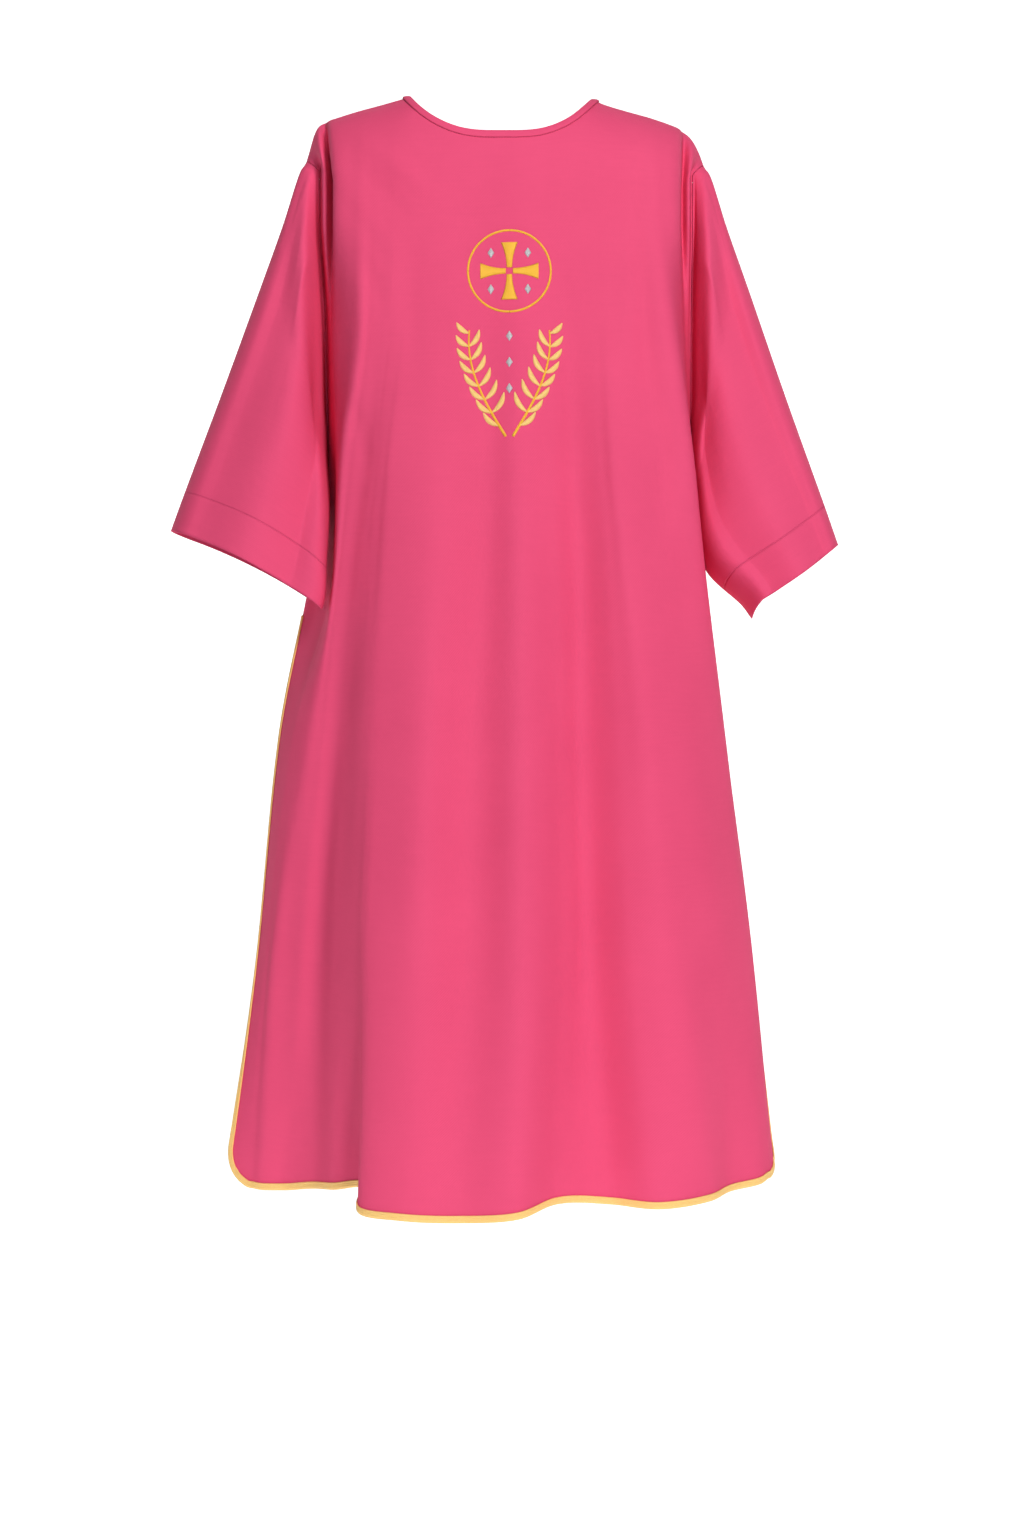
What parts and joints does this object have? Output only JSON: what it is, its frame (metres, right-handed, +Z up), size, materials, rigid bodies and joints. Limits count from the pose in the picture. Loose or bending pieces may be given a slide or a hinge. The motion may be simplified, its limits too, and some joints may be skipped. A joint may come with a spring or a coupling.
{
  "type": "dalmatic",
  "caption": "Wide-sleeved church vestment with a round bound neck, open side slits and gold braid round its hem, hanging hollow as worn.",
  "frame": {"origin": "centre of the neck opening at the height of the shoulder seams, where the wearer's shoulders hold the garment", "axes": "+Z up, the garment's longest extent; +X to the viewer's right; +Y towards the wearer's back"},
  "size_m": [0.7814, 0.4392, 1.2947],
  "materials": {
    "rose_cloth": "fine twill with a soft dull sheen",
    "gold_braid": "woven braid with a soft sheen"
  },
  "bodies": {
    "root": {"front": "rose_cloth", "back": "rose_cloth", "sleeve_left": "rose_cloth", "sleeve_right": "rose_cloth", "neck_binding": "rose_cloth", "front_trim": "gold_braid", "back_trim": "gold_braid"}
  },
  "joints": []
}
